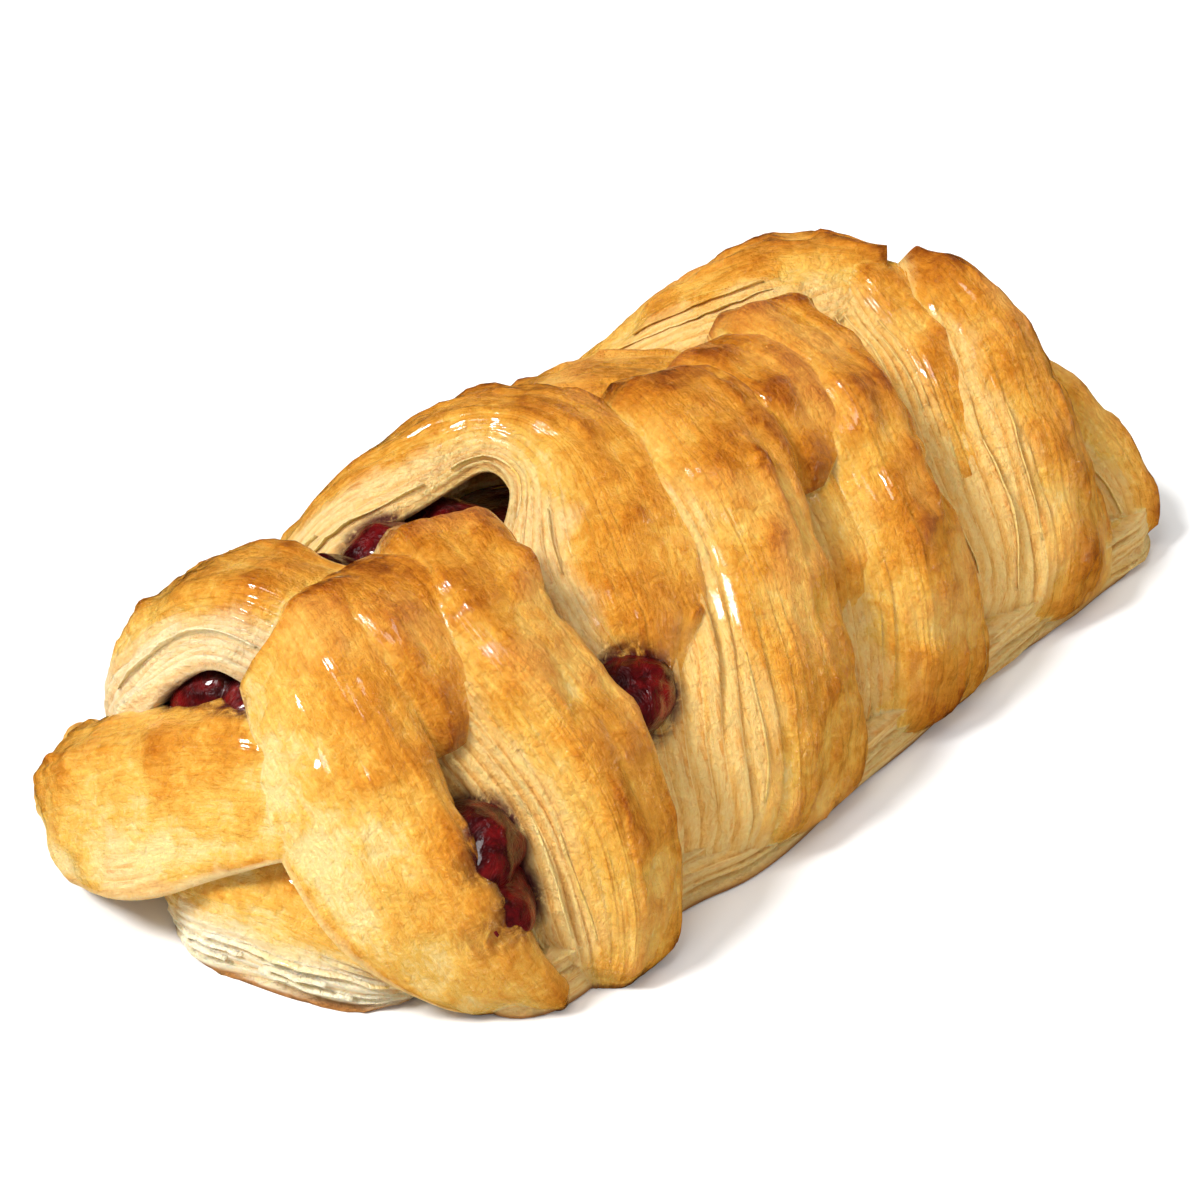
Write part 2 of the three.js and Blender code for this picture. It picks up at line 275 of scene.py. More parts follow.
print(section_rows(14, 5).shape[1], "rows round a strip")

# %% [markdown]
# ## One strip
# The rows run along the ridge line, and at each step the section stands square to it. Walls take
# the layers' relief. Glazed tops take shallow streaks, puckers and blisters, because the wash seals
# them and steam pushes them up from below. Where the wash ran down a wall, it glued the layers
# together, so the lips fade there and the top's relief takes over.

# %% The ridge line and the directions square to it
STEP = 1.2  # millimetres between the rows of points along a strip


def ridge_frame(stations, seed):
    """The ridge's points, its ways sideways and out, its sizes, distances and share of freedom."""
    rows = np.array([(*place(*row[:3]), *(UP * size for size in row[3:])) for row in stations])
    line, distance = smooth_line(rows, STEP)
    ridge, sizes = line[:, :3], line[:, 3:]
    tangent = np.gradient(ridge, axis=0)
    tangent /= np.linalg.norm(tangent, axis=1, keepdims=True)
    normal = outward(ridge)
    normal -= (normal * tangent).sum(1, keepdims=True) * tangent
    normal /= np.linalg.norm(normal, axis=1, keepdims=True)
    sideways = np.cross(tangent, normal)

    # The ridge wanders and its sizes swell, but the tucked ends stay where they are
    free = np.clip(np.minimum(distance, distance[-1] - distance) / 12, 0, 1)[:, None]
    ridge = ridge + free * (0.7 * wave(distance / 13, 0, seed)[:, None] * sideways
                            + 0.45 * wave(distance / 10, 9, seed)[:, None] * normal)
    swell = 1 + 0.1 * np.stack([wave(distance / 15, k * 4, seed + 1) for k in range(3)], -1)
    return ridge, sideways, normal, sizes * swell, distance, free


print("crest line of", len(ridge_frame(FRONT_STRIPS[2], 3)[0]), "points on the middle front strip")

# %% The section at every step
def section_shapes(wall, top, thick, at):
    """The section at every step, across and up from the ridge, and which way is out of it."""
    corners = np.empty((len(wall), CORNERS, 2))
    corners[:, :, 0] = SECTION[:, 0] * np.where(SECTION[:, 0] < 0, wall[:, None], top[:, None])
    corners[:, :, 1] = -SECTION[:, 1] * thick[:, None]
    low = np.floor(at).astype(int)
    four = [np.take_along_axis(corners, ((low + k) % CORNERS)[:, :, None].repeat(2, 2), 1)
            for k in (-1, 0, 1, 2)]
    flat = blend_four(*four, (at - low)[:, :, None])
    step = np.roll(flat, -1, 1) - np.roll(flat, 1, 1)
    out = np.stack([-step[:, :, 1], step[:, :, 0]], -1)
    out /= np.linalg.norm(out, axis=2, keepdims=True) + 1e-9
    return flat, out


# %% Relief of walls and tops
def strip_lift(far, around, rows, seed, glaze, relief):
    """How far every point stands out of its plain section, in millimetres."""
    layer, reach, kind = rows
    streaks = (0.2 * waves(far / 14, around / 2.6, seed + 11)
               + 0.16 * waves(far / 3.4, around / 2.6, seed + 12))
    puckers = (0.36 * waves(far / 4.8, around / 5.5, seed + 18)
               + 0.2 * wave(far / 2.6, around / 4, seed + 19))
    blisters = 1.9 * np.clip(wave(far / 4.5, around / 3.5, seed + 13) - 0.55, 0, 1)
    fold = (around + 1.6 * wave(far / 12, 2, seed + 14)) / 4.2
    steps = 0.25 * (fold % 1) ** 3 * (around > 1)
    crown = np.where(kind == TOP, streaks + puckers + blisters - steps, 0)
    slumped = (kind == WALL) * np.clip(1 + (around + glaze) / 3, 0, 1)
    lips = layer_relief(far, layer[None], reach[None], seed, relief)
    lips = lips * (1 - 0.8 * slumped) + slumped * (puckers + streaks)
    return np.where(np.isin(kind, (WALL, SIDE)), lips, crown)


# %% Looks, which the materials read
def strip_looks(far, around, rows, seed, glaze, pale):
    """At every point, how much is crust, how near a lip's edge it is and how little it baked."""
    layer, reach, kind = rows
    run = glaze * (1 + 0.6 * waves(far / 6, 0, seed + 15))
    washed = np.clip(1 + (around + run) / 5, 0, 1)
    crust = np.where(kind == SIDE, np.clip(0.8 - layer / 3, 0, 1), 0)
    crust = np.where(kind == TOP, 1, np.where(kind == WALL, washed, crust))
    # Edge is near 0 deep in a crevice and 1 at a lip: the materials paint crevices darker as
    # painted shade, and lips browner as toast
    edge = np.broadcast_to(np.where(kind == TOP, 0.5, reach * 0.5 + 0.5), around.shape)
    return np.stack([crust, edge, np.full(around.shape, float(pale))], -1)


# %% Faces for a tube of rows
def closed_tube(points, grain, values):
    """Faces for a grid of points that closes round its second axis, with a cap at each end."""
    length, around = points.shape[:2]
    i, j = np.meshgrid(np.arange(length - 1), np.arange(around), indexing="ij")
    a, b = i * around + j, i * around + (j + 1) % around
    quads = np.stack([a, b, b + around, a + around], -1).reshape(-1, 4)
    first, last = length * around, length * around + 1
    ring = np.arange(around)
    end = (length - 1) * around
    caps = [(first, (k + 1) % around, k) for k in ring]
    caps += [(last, end + k, end + (k + 1) % around) for k in ring]
    spots = np.vstack([points.reshape(-1, 3), points[0].mean(0), points[-1].mean(0)])
    grain = np.vstack([grain.reshape(-1, 2), grain[0].mean(0), grain[-1].mean(0)])
    values = np.vstack([values.reshape(-1, 3), values[0].mean(0), values[-1].mean(0)])
    return spots, quads.tolist() + caps, grain, values


blank = np.zeros((3, 4, 3))
print("3 rings of 4 points make", len(closed_tube(blank, blank[:, :, :2], blank)[1]), "faces")

# %% Points, faces and looks of one strip
WALL_LAYERS, SIDE_LAYERS = 14, 5


def strip_mesh(stations, seed, glaze, pale, relief):
    """Points, faces, grain and looks of one strip, and its rows for the leaves.

    glaze is how far the wash ran down its wall in millimetres, pale how little it baked.
    """
    ridge, sideways, normal, sizes, distance, free = ridge_frame(stations, seed)
    wall, top, thick = sizes.T
    place_row, *rows = section_rows(WALL_LAYERS, SIDE_LAYERS)
    wander = 0.1 * wave(distance[:, None] / 12, place_row[None] * 2.8, seed + 2)
    flat, out = section_shapes(wall, top, thick, (place_row[None] + wander) % CORNERS)

    # Distances along the strip, and round it from the ridge
    far = distance[:, None]
    gaps = np.linalg.norm(np.diff(flat, axis=1, prepend=flat[:, :1]), axis=2)
    around = np.cumsum(gaps, axis=1)
    ridge_row = int(np.argmin(np.abs(place_row - RIDGE)))
    around -= around[:, ridge_row:ridge_row + 1]

    # Relief, and ends that close to a blunt tip
    lift = strip_lift(far, around, rows, seed, glaze, relief) * np.clip(free + 0.25, 0, 1)
    flat = flat + out * lift[:, :, None]
    centre = np.stack([(top - wall) / 2, -thick / 2], -1)[:, None]
    ends = np.minimum(distance, distance[-1] - distance) / distance[-1]
    flat = centre + (flat - centre) * np.minimum(1, 0.5 + 7 * ends)[:, None, None]

    sideways, normal = sideways[:, None], normal[:, None]
    points = ridge[:, None] + flat[:, :, :1] * sideways + flat[:, :, 1:] * normal
    way = out[:, :, :1] * sideways + out[:, :, 1:] * normal
    values = strip_looks(far, around, rows, seed, glaze, pale)
    grain = np.stack([np.broadcast_to(far, around.shape) + 40 * seed, around], -1)
    _, reach, kind = rows
    rows_of = {"points": points, "way": way, "kind": kind, "reach": reach, "values": values}
    return *closed_tube(points, grain, values), rows_of


print("a wall of", WALL_LAYERS, "layers and a far side of", SIDE_LAYERS)

# %% [markdown]
# ## The sheet under the filling
# The base sheet lies flat on the tray. Its cut rim shows the same layers as the strips' walls, so
# it uses the same four rows a layer, run round an outline, and then closes over the top.

# %% Outline of the flat dough, along and across
SHEET_OUTLINE = [(-81, -82), (-48, -85), (-28, -93), (28, -93), (69, -95), (90, -94), (98, -60),
                 (98, 49), (86, 85), (28, 93), (-41, 93), (-77, 85), (-86, 55), (-86, -44)]
SHEET_THICKNESS = 7
print("an outline of", len(SHEET_OUTLINE), "points, and a sheet of", SHEET_THICKNESS, "mm")


# %% A flat piece with a layered rim
def sheet_mesh(outline, thickness, seed, layers=5, relief=0.4, dome=0.6):
    """A flat piece of dough with a layered rim."""
    rim, distance = smooth_line([place(*spot, 0) for spot in outline], STEP, closed=True)
    centre = rim.mean(0)
    away = np.roll(rim, -1, 0) - np.roll(rim, 1, 0)
    away = np.stack([away[:, 1], -away[:, 0], 0 * away[:, 0]], -1)
    away /= np.linalg.norm(away, axis=1, keepdims=True)
    rows = [(0.3, 0, 0), (0.97, 0, 0)]
    rows += [(1, thickness * (layers - k - place_in) / layers, 1 + reach)
             for k in reversed(range(layers)) for place_in, reach in reversed(LIP)]
    rows += [(share, thickness + dome * (1 - share ** 3), 0)
             for share in (0.97, 0.93, 0.86, 0.76, 0.6, 0.4, 0.2)]
    rings, values, grain = [], [], []
    for k, (share, up, lip) in enumerate(rows):
        ring = centre + (rim - centre) * share
        ring[:, 2] = up
        if lip:
            ring += away * layer_relief(distance, k // 4, lip - 1, seed, relief)[:, None]
        on_top = k > 2 + 4 * layers
        if on_top:
            ring[:, 2] += 0.35 * waves(ring[:, 0] / 6, ring[:, 1] / 6, seed)
        rings.append(ring)
        # The second value, edge, is low in a rim crevice, which the materials paint darker as
        # painted shade
        values.append(np.tile((float(on_top), 0.5 * lip if lip else 0.4, 0.4), (len(rim), 1)))
        grain.append(np.stack([distance + 40 * seed, np.full(len(rim), up + 8 * (1 - share))], -1))
    return closed_tube(np.array(rings), np.array(grain), np.array(values))


# %% [markdown]
# ## From points to objects
# Blender needs a mesh in metres, with its faces out. The looks ride along on the face corners and
# the grain map, because those survive when meshes are joined later. A closed mesh whose volume
# comes out negative has its faces in, and is turned.

# %% Turn points and faces into objects
def make_object(name, spots, faces, grain=None, values=None):
    """A smooth-shaded closed mesh in metres, with its surface values kept on the face corners."""
    mesh = bpy.data.meshes.new(name)
    mesh.from_pydata((np.asarray(spots) * MM).tolist(), [], faces)
    corner = np.empty(len(mesh.loops), dtype=np.int32)
    mesh.loops.foreach_get("vertex_index", corner)
    if grain is not None:
        layer = mesh.uv_layers.new(name="Grain")
        layer.data.foreach_set("uv", grain[corner].astype(np.float32).ravel())
        layer = mesh.attributes.new("dough", "FLOAT_VECTOR", "CORNER")
        layer.data.foreach_set("vector", values[corner].astype(np.float32).ravel())
    mesh.polygons.foreach_set("use_smooth", np.ones(len(mesh.polygons), dtype=bool))
    mesh.update()
    piece = bpy.data.objects.new(name, mesh)
    bpy.context.scene.collection.objects.link(piece)
    return piece


def signed_volume(piece):
    """Positive when the faces of a closed mesh point out."""
    mesh = bmesh.new()
    mesh.from_mesh(piece.data)
    volume = mesh.calc_volume(signed=True)
    mesh.free()
    return volume


def facing_out(piece):
    """Turns a mesh whose faces all point in."""
    if signed_volume(piece) < 0:
        piece.data.flip_normals()
    return piece


# %% Make every strip and the sheet
ALL_STRIPS = FRONT_STRIPS + BACK_STRIPS + [END_ROLL, LOWER_LIP] + BRIDGES
# For each strip, how far the wash ran down its wall in millimetres and how little it baked
GLAZED = [18, 3, 4, 5, 4, 12, 2, 3, 3, 5, 1, 3, 3, 2, 30, 30]
PALE = [0.42, 0.4, 0.3, 0.25, 0.15, 0.5, 0.7, 0.5, 0.3, 0.4, 0.3, 0.3, 0.3, 1.0, 0.4, 0.3]
SEALED_RUN, BARE_RELIEF, SEALED_RELIEF = 10, 0.34, 0.14
strips, strip_rows = [], []
for number, (stations, run, pale) in enumerate(zip(ALL_STRIPS, GLAZED, PALE)):
    relief = BARE_RELIEF if run < SEALED_RUN else SEALED_RELIEF
    *mesh_parts, rows_of = strip_mesh(stations, number + 1, run, pale, relief)
    strips.append(facing_out(make_object(f"strip_{number}", *mesh_parts)))
    strip_rows.append(rows_of)
sheet = facing_out(make_object("sheet", *sheet_mesh(SHEET_OUTLINE, SHEET_THICKNESS, 31)))
print(sum(len(piece.data.polygons) for piece in [sheet, *strips]), "faces before joining")

# %% [markdown]
# ## The filling
# The filling is a mound of soft cherries in set gel. It lies on the sheet and is pressed by the
# strips, so a long rounded mound with whole cherries pushed into it gives its shape.

# %% Filling sizes
FILLING_HALF_SIZES = np.array([81 * ALONG, 57 * ACROSS, 34 * UP])
FILLING_SQUARENESS = 0.65
FILLING_MIDDLE = (-6, 0, 36)
CHERRIES = [(-83, -64, 29), (-82, -58, 42), (-74, -48, 38), (-44, -57, 53), (-85, 14, 60),
            (-84, 34, 60), (-62, 28, 70), (-48, 26, 70), (-35, 26, 67)]
CHERRY_RADIUS = 5.5


def ball(sides, shape):
    """A closed ball whose points are moved by shape(unit points)."""
    turn = np.linspace(0, 2 * np.pi, sides, endpoint=False)
    tilt = np.linspace(-np.pi / 2, np.pi / 2, sides // 2 + 1)[1:-1]
    unit = np.stack([np.cos(tilt)[:, None] * np.cos(turn), np.cos(tilt)[:, None] * np.sin(turn),
                     np.sin(tilt)[:, None] + 0 * turn], -1)
    points = shape(unit.reshape(-1, 3)).reshape(unit.shape)
    blank = np.zeros((*points.shape[:2], 3))
    spots, faces, _, _ = closed_tube(points, blank[:, :, :2], blank)
    spots[-2:] = shape(np.array([(0.0, 0.0, -1.0), (0.0, 0.0, 1.0)]))
    return spots, faces


def filling_parts(margin, sides):
    """The mound and its cherries, swollen by a margin in millimetres."""
    def mound(unit):
        lumps = 1 + 0.06 * waves(unit[:, :1] * 9, unit[:, 1:2] * 4 + unit[:, 2:] * 3, 43, 2)
        squared = np.sign(unit) * np.abs(unit) ** FILLING_SQUARENESS
        return squared * (FILLING_HALF_SIZES * lumps + margin) + place(*FILLING_MIDDLE)
    parts = [facing_out(make_object("mound", *ball(sides * 2, mound)))]
    for number, spot in enumerate(CHERRIES):
        def cherry(unit):
            dents = 1 + 0.1 * waves(unit[:, 0] * 1.3 + number, unit[:, 1] * 1.3 + unit[:, 2], 41)
            return unit * (CHERRY_RADIUS * dents[:, None] + margin) * (1, 1, 0.93) + place(*spot)
        parts.append(facing_out(make_object("cherry", *ball(sides, cherry))))
    return parts


print(len(CHERRIES), "cherries of", 2 * CHERRY_RADIUS, "mm")

# %% [markdown]
# ## Joining
# In the oven the strips, the sheet and the rolled end grow into one piece of dough. Left as
# separate meshes they would run through each other, so a union makes one skin of them. The
# filling's shape, a hair smaller, is then cut away so that the dough wraps round it, and so is all
# that lies below the tray.

# %% Join and cut closed meshes
def combined(base, others, operation):
    """The base with every other mesh joined to it or cut away from it, as a plain mesh."""
    tools = bpy.data.collections.new("tools")
    for piece in others:
        tools.objects.link(piece)
    join = base.modifiers.new("join", "BOOLEAN")
    join.solver, join.operation = "MANIFOLD", operation
    join.operand_type, join.collection = "COLLECTION", tools
    graph = bpy.context.evaluated_depsgraph_get()
    mesh = bpy.data.meshes.new_from_object(base.evaluated_get(graph))
    base.modifiers.clear()
    base.data = mesh
    bpy.data.collections.remove(tools)
    for piece in others:
        bpy.data.objects.remove(piece)
    return base


def space_below(height, width=0.4, depth=0.1):
    """Everything under a height, as one box."""
    bpy.ops.mesh.primitive_cube_add(size=1)
    box = bpy.context.object
    for vertex in box.data.vertices:
        x, y, z = vertex.co
        vertex.co = x * width, y * width, height * MM + (z - 0.5) * depth
    return box


# %% Join the dough and hollow it out
PRESSED_IN = 0.25  # how far the filling presses into the dough, in millimetres
pastry = combined(sheet, strips, "UNION")
hollow = filling_parts(-PRESSED_IN, 40)
hollow = combined(hollow[0], hollow[1:], "UNION")
pastry = combined(pastry, [hollow, space_below(0)], "DIFFERENCE")
pastry.name = pastry.data.name = "plaited_dough"
print("joined dough:", len(pastry.data.polygons), "faces")

# %% [markdown]
# ## Where the oven reaches
# Crust browns first on what stands out, and dough that touches a cherry soaks up its juice. Both
# depend on the shape, not on a pattern, so they are measured on the joined mesh and stored on its
# points. How far a point stands out is its distance from a softened copy of the same surface.

# %% Read a mesh as arrays
def spots_of(mesh):
    """The places of a mesh's points, in millimetres."""
    spots = np.empty(len(mesh.vertices) * 3)
    mesh.vertices.foreach_get("co", spots)
    return spots.reshape(-1, 3) / MM


def edge_ends(mesh):
    """The two ends of every edge."""
    edges = np.empty(len(mesh.edges) * 2, dtype=np.int64)
    mesh.edges.foreach_get("vertices", edges)
    return edges.reshape(-1, 2).T


def store(mesh, name, values):
    """Keeps one number for each point."""
    layer = mesh.attributes.new(name, "FLOAT", "POINT")
    layer.data.foreach_set("value", values.astype(np.float32))


print("the dough's points span", np.ptp(spots_of(pastry.data), axis=0).round(1), "mm")

# %% Keep the one connected body
def only_biggest(piece):
    """Removes scraps that a cut left loose inside, and counts them."""
    mesh = piece.data
    a, b = edge_ends(mesh)
    group = np.arange(len(mesh.vertices))
    while True:
        low = np.minimum(group[a], group[b])
        new = group.copy()
        np.minimum.at(new, a, low)
        np.minimum.at(new, b, low)
        new = new[new]
        if (new == group).all():
            break
        group = new
    names, sizes = np.unique(group, return_counts=True)
    loose = group != names[np.argmax(sizes)]
    if loose.any():
        shell = bmesh.new()
        shell.from_mesh(mesh)
        shell.verts.ensure_lookup_table()
        scraps = [shell.verts[k] for k in np.flatnonzero(loose)]
        bmesh.ops.delete(shell, geom=scraps, context="VERTS")
        shell.to_mesh(mesh)
        shell.free()
    return len(names) - 1


print("scraps removed:", only_biggest(pastry))

# %% Measure the swell and the stain
def mark_swell(piece, turns=24):
    """Stores how far each point stands out of its softened surroundings, in millimetres."""
    mesh = piece.data
    spots, (a, b) = spots_of(mesh), edge_ends(mesh)
    count = len(spots)
    normals = np.empty(count * 3)
    mesh.vertices.foreach_get("normal", normals)
    share = np.bincount(a, minlength=count) + np.bincount(b, minlength=count)
    soft = spots.copy()
    for _ in range(turns):
        soft = np.stack([(np.bincount(a, soft[b, k], count) + np.bincount(b, soft[a, k], count))
                         / share for k in range(3)], -1)
    swell = ((spots - soft) * normals.reshape(-1, 3)).sum(1)
    store(mesh, "swell", swell)
    return swell


def mark_stain(piece, full=0.2, reach=1.3):
    """Stores 1 on the dough that touches a cherry, fading to 0 at a reach in millimetres."""
    spots = spots_of(piece.data)
    middles = [np.linalg.norm(spots - place(*spot), axis=1) for spot in CHERRIES]
    away = np.min(middles, axis=0) - CHERRY_RADIUS
    store(piece.data, "stain", np.clip(1 - (away - full) / reach, 0, 1))


mark_stain(pastry)
swell = mark_swell(pastry)
pastry.data.calc_loop_triangles()
print("pastry:", len(pastry.data.loop_triangles), "triangles,",
      "swell", swell.min().round(2), "to", swell.max().round(2))

# %% [markdown]
# ## The cherries that show
# The mound and the cherries that were cut out of the dough are made again at their full size. Their
# union is one wet body, cut off flat just above the sheet that it lies on.

# %% Make the filling
FILLING_GAP = 0.3  # between the filling and the sheet, in millimetres
filling = filling_parts(0, 64)
filling = combined(filling[0], filling[1:], "UNION")
filling = combined(filling, [space_below(SHEET_THICKNESS + FILLING_GAP)], "DIFFERENCE")
filling.name = filling.data.name = "cherries_in_gel"
print("filling:", len(filling.data.polygons), "faces")

# %% [markdown]
# ## Trees of nodes
# Materials and the leaves are both made by trees of nodes. A node is added, set and wired in one
# call here, which keeps a tree as readable as a sum. A group with named sockets can be placed in
# several materials or modifiers with values of its own.

# %% Helpers for node trees
def linked(tree, kind, settings=None, **inputs):
    """A node with its settings, and values or links in its inputs: Name= or, by number, _0=."""
    node = tree.nodes.new(kind)
    for name, value in (settings or {}).items():
        setattr(node, name, value)
    for name, value in inputs.items():
        socket = node.inputs[int(name[1:]) if name[0] == "_" else name.replace("_", " ")]
        if isinstance(value, bpy.types.NodeSocket):
            tree.links.new(value, socket)
        else:
            socket.default_value = value
    return node


def new_group(kind, name, inputs, outputs):
    """An empty node group with named sockets: (name, kind, default) in, (name, kind) out."""
    tree = bpy.data.node_groups.new(name, kind)
    for label, socket_kind, default in inputs:
        socket = tree.interface.new_socket(label, in_out="INPUT", socket_type=socket_kind)
        if default is not None:
            socket.default_value = default
    for label, socket_kind in outputs:
        tree.interface.new_socket(label, in_out="OUTPUT", socket_type=socket_kind)
    return tree, tree.nodes.new("NodeGroupInput"), tree.nodes.new("NodeGroupOutput")


# %% [markdown]
# ## Finishes
# Baked dough is pale where it was cut and toasted where the egg wash lay. The toast is deepest on
# what stands out, so the swell that was measured above drives it, broken up by noise at several
# sizes. The noise that makes streaks reads the grain map, so it follows every strip round.

# %% Helpers for shader trees
def colour(hex_code):
    """A display colour as the linear colour that a shader wants."""
    parts = [int(hex_code[k:k + 2], 16) / 255 for k in (0, 2, 4)]
    return [p / 12.92 if p <= 0.04045 else ((p + 0.055) / 1.055) ** 2.4 for p in parts] + [1.0]


def ramp(tree, value, stops):
    """A colour ramp through (place, display colour) stops."""
    node = linked(tree, "ShaderNodeValToRGB", Fac=value)
    marks = node.color_ramp.elements
    while len(marks) < len(stops):
        marks.new(0.5)
    for mark, (spot, code) in zip(marks, stops):
        mark.position, mark.color = spot, colour(code)
    return node.outputs["Color"]


def maths(tree, operation, a, b):
    """One sum on two values or sockets."""
    return linked(tree, "ShaderNodeMath", {"operation": operation}, _0=a, _1=b).outputs[0]


def noise(tree, vector, scale, detail=4.0, roughness=0.6, distortion=0.0):
    """Noise about 0 to 1 at a scale in swells a unit of the vector."""
    return linked(tree, "ShaderNodeTexNoise", Vector=vector, Scale=scale, Detail=detail,
                  Roughness=roughness, Distortion=distortion).outputs["Fac"]


def mixed(tree, share, first, second):
    """A colour between two colours."""
    return linked(tree, "ShaderNodeMix", {"data_type": "RGBA"}, _0=share, _6=first,
                  _7=second).outputs[2]


print("a baker's brown in linear light:", [round(part, 2) for part in colour("A8560F")[:3]])

# %% Helpers that mix several causes
def weighted(tree, start, parts):
    """A start value plus every (value, its middle, weight)."""
    total = start
    for value, middle, weight in parts:
        part = maths(tree, "MULTIPLY", maths(tree, "SUBTRACT", value, middle), weight)
        total = maths(tree, "ADD", total, part)
    return total


def stretched(tree, vector, scales):
    """A vector with each part scaled by its own amount."""
    return linked(tree, "ShaderNodeVectorMath", {"operation": "MULTIPLY"}, _0=vector,
                  _1=scales).outputs[0]


def part_of(tree, vector, axis):
    """One number of a vector."""
    return linked(tree, "ShaderNodeSeparateXYZ", Vector=vector).outputs[axis]


def eased(tree, value, low, high):
    """0 below low, 1 above high and a smooth step between."""
    return linked(tree, "ShaderNodeMapRange", {"interpolation_type": "SMOOTHSTEP"}, Value=value,
                  From_Min=low, From_Max=high).outputs[0]


# %% Colours of baked dough, from pale to deep
CRUST = [(0.0, "FFDD92"), (0.22, "FAC258"), (0.42, "ECA137"), (0.6, "D4811F"), (0.78, "A8560F"),
         (1.0, "662B06")]
# Layer ramps: low stops are painted shade deep in the crevices between layers, mixed with random
# tone; high stops are toasted lips
CUT_LAYERS = [(0.0, "A05618"), (0.2, "D88E32"), (0.38, "F5BA5A"), (0.56, "FDD381"),
              (0.74, "ECA546"), (1.0, "BA6A1C")]
CREAM_LAYERS = [(0.0, "E2A85C"), (0.3, "FFDCA2"), (0.6, "FFF0CC"), (1.0, "F8BE6E")]
TRAY_BROWN, CHERRY_JUICE = "B57634", "5A160C"
print(len(CRUST), "steps of toast on the crust")

# %% [markdown]
# ## The baked look
# One group makes the whole look of the dough from a few causes, so that the bare walls, the glazed
# tops and the torn leaves all come from the same oven. Streaks follow the grain map, and mottling
# and crumb sit still in the object. The toast adds up swell, height above the tray and noise. The
# cut layers are browner at their lips, as toast, and darker in their crevices, as painted shade.
# The group puts out a colour, a roughness, how thick the glaze is and a height for the bumps.

# %% The baked look, a group that the dough and its leaves share
def baked_group():
    """Crust, Edge, Swell, Pale and Stain in, the look of the dough out."""
    tree, take, give = new_group(
        "ShaderNodeTree", "Baked dough",
        [("Crust", "NodeSocketFloat", 1.0), ("Edge", "NodeSocketFloat", 0.5),
         ("Swell", "NodeSocketFloat", 0.0), ("Pale", "NodeSocketFloat", 0.5),
         ("Stain", "NodeSocketFloat", 0.0), ("Grain", "NodeSocketVector", None),
         ("Spot", "NodeSocketVector", None)],
        [("Colour", "NodeSocketColor"), ("Roughness", "NodeSocketFloat"),
         ("Glaze", "NodeSocketFloat"), ("Height", "NodeSocketFloat")])
    crust, edge, swell, pale, stain, grain, spot = (take.outputs[k] for k in range(7))

    # Noise, from long streaks along the strip down to crumbs
    streaks = noise(tree, stretched(tree, grain, (0.08, 0.8, 1.0)), 1.0, 6.0, 0.65, 0.4)
    fine = noise(tree, stretched(tree, grain, (0.35, 1.9, 1.0)), 1.0, 6.0, 0.72, 0.8)
    broad = noise(tree, spot, 75.0, 3.0, 0.5)
    mottle = noise(tree, spot, 380.0, 5.0, 0.68, 0.8)
    crumb = noise(tree, spot, 1300.0, 4.0, 0.75, 0.5)
    ripples = noise(tree, spot, 300.0, 3.0, 0.6, 0.5)
    creases = linked(tree, "ShaderNodeTexNoise", {"noise_type": "RIDGED_MULTIFRACTAL"}, Vector=spot,
                     Scale=330.0, Detail=5.0, Roughness=0.6, Distortion=0.8).outputs["Fac"]
    up = part_of(tree, spot, 2)
    down_wall = maths(tree, "MINIMUM", part_of(tree, grain, 1), 0.0)
    standing = maths(tree, "MAXIMUM", maths(tree, "MINIMUM", swell, 1.1), -1.1)
    height = weighted(tree, 0.0, [(streaks, 0.0, 0.15), (fine, 0.0, 0.25), (mottle, 0.0, 0.35),
                                  (crumb, 0.0, 0.25)])

    # Colours of the crust, of the cut layers and of the palest dough
    toast = weighted(tree, 0.39, [
        (standing, 0.1, 0.3), (broad, 0.5, 0.65), (height, 0.5, 1.5), (pale, 0.4, -0.28),
        (up, 0.027, 3.5), (down_wall, 0.0, 0.022)])
    # Layer colour runs from painted shade in the crevices, through pale dough, to toasted lips,
    # with noise for random tone
    layer_toast_and_shade = weighted(tree, 0.47, [(edge, 0.5, 0.35), (fine, 0.5, 0.7), (broad, 0.5, 0.5),
                                       (crumb, 0.5, 0.25)])
    layers = mixed(tree, eased(tree, pale, 0.3, 1.0), ramp(tree, layer_toast_and_shade, CUT_LAYERS),
                   ramp(tree, layer_toast_and_shade, CREAM_LAYERS))

    # Crust over layers with a ragged border, brown where it lay on the tray, and cherry stains
    share = eased(tree, weighted(tree, 0.0, [(crust, 0.0, 1.0), (fine, 0.5, 0.7),
                                             (mottle, 0.5, 0.5)]), 0.1, 0.85)
    baked = mixed(tree, share, layers, ramp(tree, toast, CRUST))
    baked = mixed(tree, eased(tree, up, 0.0012, 0.0003), baked, colour(TRAY_BROWN))
    stained = maths(tree, "MULTIPLY", stain, eased(tree, mottle, 0.3, 0.55))
    tree.links.new(mixed(tree, stained, baked, colour(CHERRY_JUICE)), give.inputs["Colour"])

    # Wet patches of wash, which lie thicker in small pools
    wet = maths(tree, "MULTIPLY", share, eased(tree, broad, 0.36, 0.52))
    pools = weighted(tree, 0.3, [(eased(tree, mottle, 0.46, 0.54), 0.0, 0.7)])
    rough = weighted(tree, 0.68, [(share, 0.0, -0.18), (wet, 0.0, -0.34), (fine, 0.5, 0.2)])
    relief = weighted(tree, height, [(creases, 0.0, 0.24), (ripples, 0.5, 0.5)])
    tree.links.new(maths(tree, "MULTIPLY", wet, pools), give.inputs["Glaze"])
    tree.links.new(rough, give.inputs["Roughness"])
    tree.links.new(relief, give.inputs["Height"])
    return tree


BAKED = baked_group()
print("Baked dough:", len(BAKED.nodes), "nodes")

